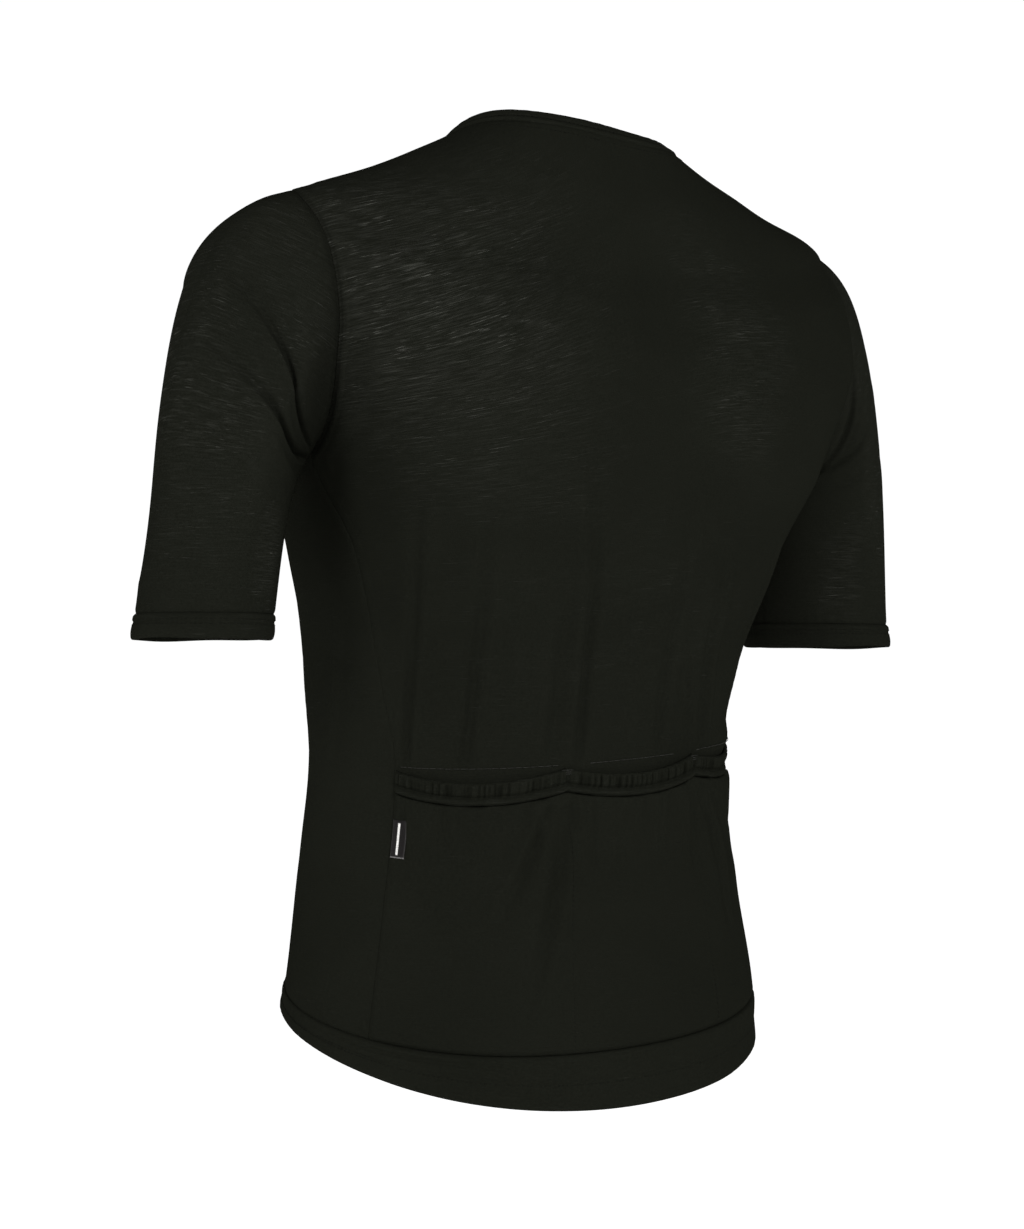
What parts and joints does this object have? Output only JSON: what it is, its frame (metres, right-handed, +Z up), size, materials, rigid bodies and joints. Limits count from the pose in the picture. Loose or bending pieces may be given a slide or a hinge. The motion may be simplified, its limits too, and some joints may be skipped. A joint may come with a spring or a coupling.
{
  "type": "short-sleeved cycling jersey",
  "caption": "Worn short-sleeved cycling jersey in fine black knit, with a low neckband, banded cuffs and hem, a dropped back and gathered rear pockets.",
  "frame": {"origin": "midway between the shoulders at shoulder height, inside the hollow, where the wearer's shoulders carry the jersey", "axes": "+Z up, the front faces -Y, the wearer's left is +X"},
  "size_m": [0.616, 0.2826, 0.6343],
  "materials": {
    "knit": "matte slub jersey knit",
    "band": "matte doubled knit band",
    "label": "matte woven label"
  },
  "bodies": {
    "root": {"back_panel": "knit", "front_panel": "knit", "sleeve_left": "knit", "sleeve_right": "knit", "cuff_left": "band", "cuff_right": "band", "neckband": "band", "hem_band": "band", "pocket_panel": "knit", "pocket_casing": "knit", "side_label": "label"}
  },
  "joints": []
}
